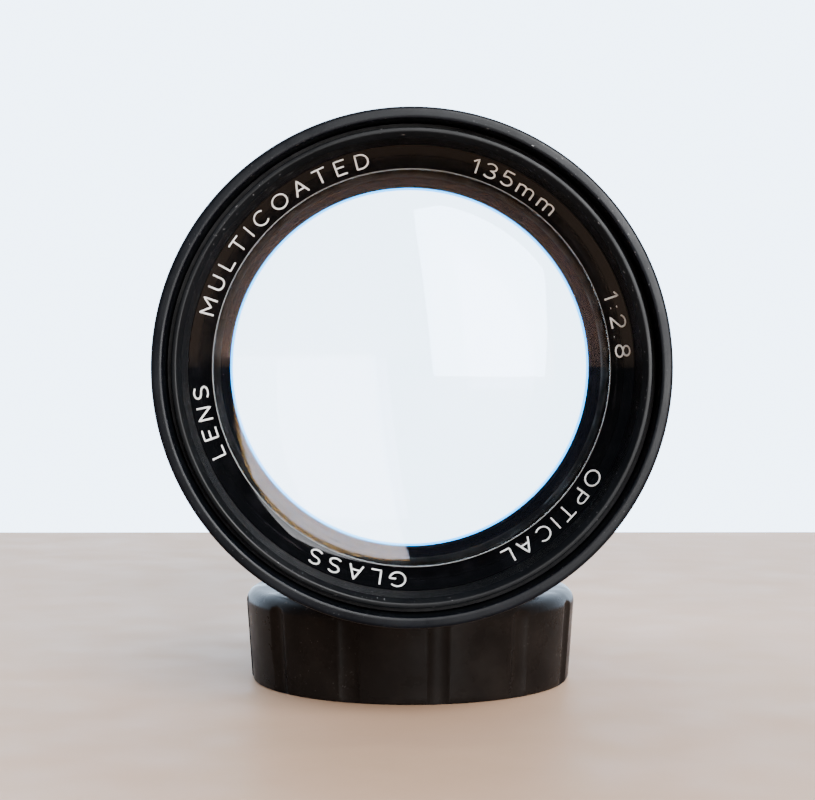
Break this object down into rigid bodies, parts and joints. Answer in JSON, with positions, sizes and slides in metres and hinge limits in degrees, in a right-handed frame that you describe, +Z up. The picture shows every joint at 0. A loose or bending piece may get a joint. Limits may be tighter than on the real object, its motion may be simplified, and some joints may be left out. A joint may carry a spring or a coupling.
{
  "type": "telephoto camera lens",
  "caption": "Black manual-focus telephoto camera lens with a retracted sliding hood, lying level on its ribbed screw-on rear cap.",
  "frame": {"origin": "centre of the mount's flange face, on the optical axis", "axes": "+Z up, +Y backwards along the optical axis into the camera, so the lens looks along -Y; +X to the right seen from the front"},
  "size_m": [0.061, 0.0982, 0.0735],
  "materials": {
    "black_anodised": "satin black",
    "hood_black": "satin black",
    "name_black": "gloss black",
    "matt_black": "matt black",
    "chrome": "satin chrome",
    "screw_steel": "bright steel",
    "brass": "turned",
    "plain_aluminium": "turned",
    "blade_steel": "blackened",
    "grip_rubber": "matt",
    "hood_plastic": "matt",
    "cap_plastic": "semi-gloss brown-black",
    "front_glass": "coated",
    "rear_glass": "coated"
  },
  "bodies": {
    "root": {"lens_mount": "chrome", "mount_screws": "screw_steel", "rear_housing": "black_anodised", "scale_ring": "black_anodised", "scale_ring_screws": "screw_steel", "helicoid_sleeve": "brass", "guide_keys": "brass", "guide_key_screws": "screw_steel", "rear_baffle": "matt_black", "click_ball": "screw_steel", "click_spring": "screw_steel", "pin_bracket": "screw_steel", "pin_return_spring": "screw_steel"},
    "aperture_ring": {"aperture_ring": "black_anodised", "aperture_fork": "plain_aluminium"},
    "auto_switch": {"auto_switch": "chrome"},
    "stop_down_pin": {"stop_down_pin": "screw_steel"},
    "front_barrel": {"inner_barrel": "black_anodised", "focus_retainer": "matt_black", "front_shell": "black_anodised", "shell_screws": "screw_steel", "name_ring": "name_black", "front_cell": "matt_black", "front_element": "front_glass", "second_element": "front_glass", "third_element": "front_glass", "fourth_element": "rear_glass", "fifth_element": "rear_glass", "element_spacer": "matt_black", "inner_retaining_ring": "matt_black", "iris_housing": "matt_black", "iris_cover": "matt_black", "rear_cell": "matt_black", "rear_retaining_ring": "matt_black", "hood_stop_ring": "matt_black"},
    "focus_ring": {"focus_ring": "black_anodised", "focus_helicoid_nut": "plain_aluminium", "focus_ring_screws": "screw_steel", "focus_grip": "grip_rubber"},
    "iris_drive_ring": {"iris_drive_ring": "plain_aluminium"},
    "iris_blade_01": {"iris_blade_01": "blade_steel"},
    "iris_blade_02": {"iris_blade_02": "blade_steel"},
    "iris_blade_03": {"iris_blade_03": "blade_steel"},
    "iris_blade_04": {"iris_blade_04": "blade_steel"},
    "iris_blade_05": {"iris_blade_05": "blade_steel"},
    "iris_blade_06": {"iris_blade_06": "blade_steel"},
    "iris_blade_07": {"iris_blade_07": "blade_steel"},
    "iris_blade_08": {"iris_blade_08": "blade_steel"},
    "iris_blade_09": {"iris_blade_09": "blade_steel"},
    "iris_blade_10": {"iris_blade_10": "blade_steel"},
    "hood": {"hood_tube": "hood_black", "hood_rim": "hood_black", "hood_friction_ring": "hood_plastic"},
    "rear_cap": {"rear_cap": "cap_plastic"}
  },
  "joints": [
    {"name": "aperture_ring_turn", "type": "hinge", "parent": "root", "child": "aperture_ring", "pos_m": [0, -0.0115, 0], "axis": [0, -1, 0], "range_deg": [0, 54]},
    {"name": "auto_switch_turn", "type": "hinge", "parent": "root", "child": "auto_switch", "pos_m": [0, -0.0055, 0], "axis": [0, -1, 0], "range_deg": [0, 12]},
    {"name": "stop_down_pin_push", "type": "slide", "parent": "root", "child": "stop_down_pin", "axis": [0, -1, 0], "range_m": [0, 0.004], "stiffness_N_per_m": 120, "springref_m": -0.002},
    {"name": "focus_travel", "type": "slide", "parent": "root", "child": "front_barrel", "axis": [0, -1, 0], "range_m": [0, 0.015]},
    {"name": "focus_ring_turn", "type": "hinge", "parent": "front_barrel", "child": "focus_ring", "pos_m": [0, -0.042, 0], "axis": [0, 1, 0], "range_deg": [0, 240.01]},
    {"name": "iris_drive_turn", "type": "hinge", "parent": "front_barrel", "child": "iris_drive_ring", "pos_m": [0, -0.04, 0], "axis": [0, -1, 0], "range_deg": [0, 54]},
    {"name": "iris_blade_01_turn", "type": "hinge", "parent": "front_barrel", "child": "iris_blade_01", "pos_m": [0.0225, -0.043, 0], "axis": [0, -1, 0], "range_deg": [0, 36.01]},
    {"name": "iris_blade_02_turn", "type": "hinge", "parent": "front_barrel", "child": "iris_blade_02", "pos_m": [0.0182, -0.043, 0.01323], "axis": [0, -1, 0], "range_deg": [0, 36.01]},
    {"name": "iris_blade_03_turn", "type": "hinge", "parent": "front_barrel", "child": "iris_blade_03", "pos_m": [0.00695, -0.043, 0.0214], "axis": [0, -1, 0], "range_deg": [0, 36.01]},
    {"name": "iris_blade_04_turn", "type": "hinge", "parent": "front_barrel", "child": "iris_blade_04", "pos_m": [-0.00695, -0.043, 0.0214], "axis": [0, -1, 0], "range_deg": [0, 36.01]},
    {"name": "iris_blade_05_turn", "type": "hinge", "parent": "front_barrel", "child": "iris_blade_05", "pos_m": [-0.0182, -0.043, 0.01323], "axis": [0, -1, 0], "range_deg": [0, 36.01]},
    {"name": "iris_blade_06_turn", "type": "hinge", "parent": "front_barrel", "child": "iris_blade_06", "pos_m": [-0.0225, -0.043, 0], "axis": [0, -1, 0], "range_deg": [0, 36.01]},
    {"name": "iris_blade_07_turn", "type": "hinge", "parent": "front_barrel", "child": "iris_blade_07", "pos_m": [-0.0182, -0.043, -0.01323], "axis": [0, -1, 0], "range_deg": [0, 36.01]},
    {"name": "iris_blade_08_turn", "type": "hinge", "parent": "front_barrel", "child": "iris_blade_08", "pos_m": [-0.00695, -0.043, -0.0214], "axis": [0, -1, 0], "range_deg": [0, 36.01]},
    {"name": "iris_blade_09_turn", "type": "hinge", "parent": "front_barrel", "child": "iris_blade_09", "pos_m": [0.00695, -0.043, -0.0214], "axis": [0, -1, 0], "range_deg": [0, 36.01]},
    {"name": "iris_blade_10_turn", "type": "hinge", "parent": "front_barrel", "child": "iris_blade_10", "pos_m": [0.0182, -0.043, -0.01323], "axis": [0, -1, 0], "range_deg": [0, 36.01]},
    {"name": "hood_slide", "type": "slide", "parent": "front_barrel", "child": "hood", "axis": [0, -1, 0], "range_m": [0, 0.018]},
    {"name": "rear_cap_slide", "type": "slide", "parent": "root", "child": "rear_cap", "axis": [1, 0, 0], "range_m": [0, 0.056]}
  ],
  "couplings": [
    {"joint": "focus_ring_turn", "follows": "focus_travel", "rad_per_m": 279.25},
    {"joint": "iris_drive_turn", "follows": "aperture_ring_turn", "ratio": 1},
    {"joint": "iris_blade_01_turn", "follows": "aperture_ring_turn", "ratio": 0.66667},
    {"joint": "iris_blade_02_turn", "follows": "aperture_ring_turn", "ratio": 0.66667},
    {"joint": "iris_blade_03_turn", "follows": "aperture_ring_turn", "ratio": 0.66667},
    {"joint": "iris_blade_04_turn", "follows": "aperture_ring_turn", "ratio": 0.66667},
    {"joint": "iris_blade_05_turn", "follows": "aperture_ring_turn", "ratio": 0.66667},
    {"joint": "iris_blade_06_turn", "follows": "aperture_ring_turn", "ratio": 0.66667},
    {"joint": "iris_blade_07_turn", "follows": "aperture_ring_turn", "ratio": 0.66667},
    {"joint": "iris_blade_08_turn", "follows": "aperture_ring_turn", "ratio": 0.66667},
    {"joint": "iris_blade_09_turn", "follows": "aperture_ring_turn", "ratio": 0.66667},
    {"joint": "iris_blade_10_turn", "follows": "aperture_ring_turn", "ratio": 0.66667}
  ]
}
